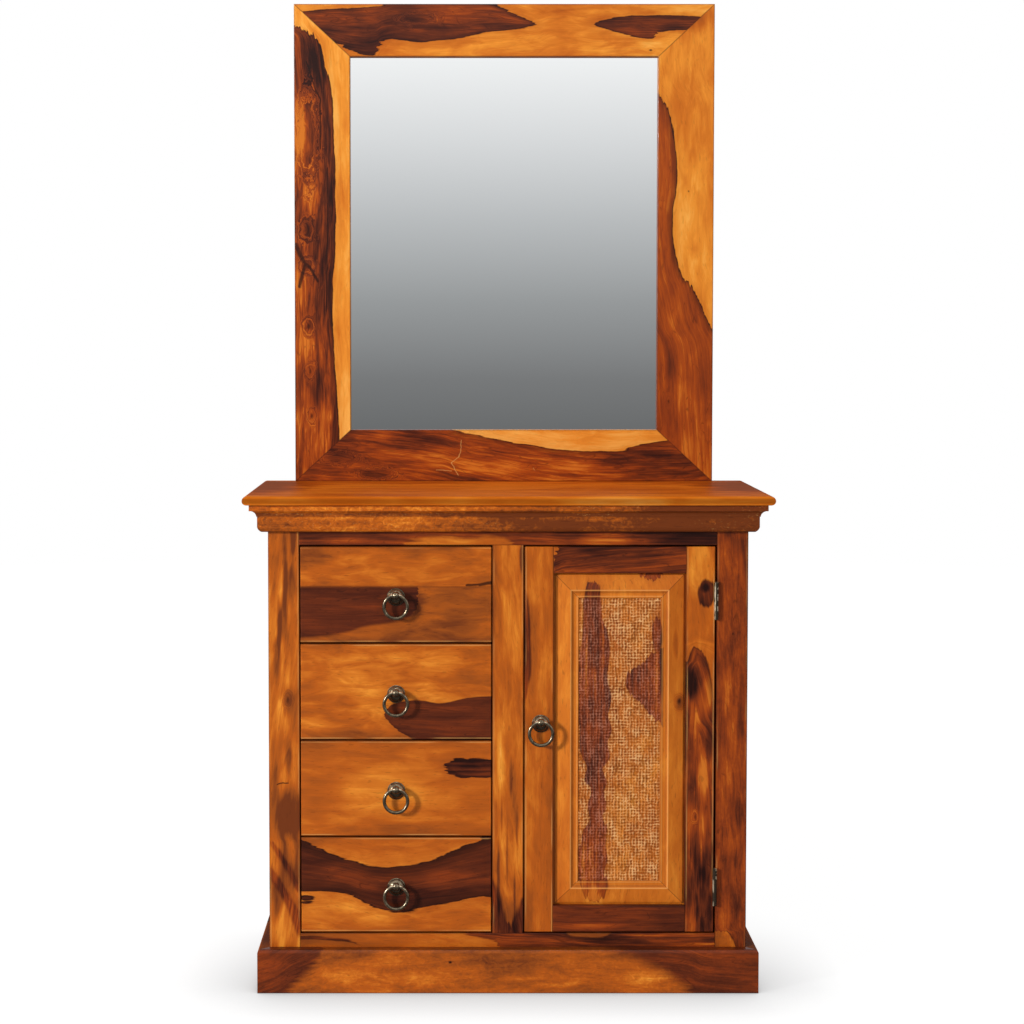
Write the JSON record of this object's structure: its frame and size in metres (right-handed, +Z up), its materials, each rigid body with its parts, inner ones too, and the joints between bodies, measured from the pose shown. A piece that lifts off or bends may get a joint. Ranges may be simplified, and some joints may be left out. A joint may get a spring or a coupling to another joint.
{
  "type": "dresser with mirror",
  "caption": "Free-standing wooden chest with stacked drawers beside a panelled cupboard door, under an overhanging top that carries a framed mirror.",
  "frame": {"origin": "on the floor, midway across the whole width and the whole depth", "axes": "+X to the right seen from the front, +Y from the front to the back, +Z up"},
  "size_m": [0.914, 0.418, 1.763],
  "materials": {
    "case_wood": "glossy lacquered rosewood, orange sapwood and dark heartwood",
    "top_wood": "glossy lacquered rosewood with long straight stripes",
    "plinth_wood": "glossy lacquered rosewood",
    "mirror_frame_wood": "glossy lacquered rosewood, honey sapwood beside swirling dark heartwood",
    "door_wood": "glossy lacquered rosewood, panel with a hand-cut cross-hatched field",
    "drawer_wood": "glossy lacquered rosewood",
    "plain_wood": "plain oiled timber of the inside",
    "plywood": "stained plywood",
    "mirror": "silvered flat glass",
    "aged_brass": "darkened antique brass",
    "screw_steel": "zinc-plated steel",
    "catch_plastic": "brown plastic magnetic catch"
  },
  "bodies": {
    "carcass": {"post_front_left": "case_wood", "post_front_right": "case_wood", "posts_back": "case_wood", "centre_stile": "case_wood", "top_rail": "case_wood", "bottom_rail": "case_wood", "side_panel_left": "case_wood", "side_panel_right": "case_wood", "carcass_rails": "case_wood", "partition": "plain_wood", "back_panel": "plywood", "floor_panel": "plain_wood", "plinth_front": "plinth_wood", "plinth_sides": "plinth_wood", "cornice_front": "top_wood", "cornice_returns": "top_wood", "top_board": "top_wood", "shelf": "plain_wood", "inner_battens": "plain_wood", "door_catch": "catch_plastic", "hinge_frame_leaves": "aged_brass", "hinge_pins": "aged_brass", "carcass_screws": "screw_steel", "mirror_stile_left": "mirror_frame_wood", "mirror_stile_right": "mirror_frame_wood", "mirror_rail_top": "mirror_frame_wood", "mirror_rail_bottom": "mirror_frame_wood", "mirror_glass": "mirror", "mirror_backing": "plywood", "mirror_supports": "plain_wood"},
    "door": {"door_stile_pull": "door_wood", "door_stile_hinge": "door_wood", "door_rail_top": "door_wood", "door_rail_bottom": "door_wood", "door_panel": "door_wood", "door_pull_base": "aged_brass", "door_strike": "screw_steel", "hinge_door_leaves": "aged_brass", "door_screws": "screw_steel"},
    "door_ring": {"door_pull_ring": "aged_brass"},
    "drawer_1": {"drawer_1_front": "drawer_wood", "drawer_1_box": "plain_wood", "drawer_1_bottom": "plywood", "drawer_1_pull_base": "aged_brass"},
    "drawer_1_ring": {"drawer_1_pull_ring": "aged_brass"},
    "drawer_2": {"drawer_2_front": "drawer_wood", "drawer_2_box": "plain_wood", "drawer_2_bottom": "plywood", "drawer_2_pull_base": "aged_brass"},
    "drawer_2_ring": {"drawer_2_pull_ring": "aged_brass"},
    "drawer_3": {"drawer_3_front": "drawer_wood", "drawer_3_box": "plain_wood", "drawer_3_bottom": "plywood", "drawer_3_pull_base": "aged_brass"},
    "drawer_3_ring": {"drawer_3_pull_ring": "aged_brass"},
    "drawer_4": {"drawer_4_front": "drawer_wood", "drawer_4_box": "plain_wood", "drawer_4_bottom": "plywood", "drawer_4_pull_base": "aged_brass"},
    "drawer_4_ring": {"drawer_4_pull_ring": "aged_brass"}
  },
  "joints": [
    {"name": "door_hinge", "type": "hinge", "parent": "carcass", "child": "door", "pos_m": [0.3605, -0.172, 0.44025], "axis": [0, 0, 1], "range_deg": [0, 170]},
    {"name": "door_ring_swing", "type": "hinge", "parent": "door", "child": "door_ring", "pos_m": [0.057, -0.1815, 0.47325], "axis": [-1, 0, 0], "range_deg": [-12, 165]},
    {"name": "drawer_1_slide", "type": "slide", "parent": "carcass", "child": "drawer_1", "axis": [0, -1, 0], "range_m": [0, 0.24]},
    {"name": "drawer_1_ring_swing", "type": "hinge", "parent": "drawer_1", "child": "drawer_1_ring", "pos_m": [-0.1945, -0.1815, 0.6945], "axis": [-1, 0, 0], "range_deg": [-12, 165]},
    {"name": "drawer_2_slide", "type": "slide", "parent": "carcass", "child": "drawer_2", "axis": [0, -1, 0], "range_m": [0, 0.24]},
    {"name": "drawer_2_ring_swing", "type": "hinge", "parent": "drawer_2", "child": "drawer_2_ring", "pos_m": [-0.1945, -0.1815, 0.525], "axis": [-1, 0, 0], "range_deg": [-12, 165]},
    {"name": "drawer_3_slide", "type": "slide", "parent": "carcass", "child": "drawer_3", "axis": [0, -1, 0], "range_m": [0, 0.24]},
    {"name": "drawer_3_ring_swing", "type": "hinge", "parent": "drawer_3", "child": "drawer_3_ring", "pos_m": [-0.1945, -0.1815, 0.3555], "axis": [-1, 0, 0], "range_deg": [-12, 165]},
    {"name": "drawer_4_slide", "type": "slide", "parent": "carcass", "child": "drawer_4", "axis": [0, -1, 0], "range_m": [0, 0.24]},
    {"name": "drawer_4_ring_swing", "type": "hinge", "parent": "drawer_4", "child": "drawer_4_ring", "pos_m": [-0.1945, -0.1815, 0.186], "axis": [-1, 0, 0], "range_deg": [-12, 165]}
  ]
}
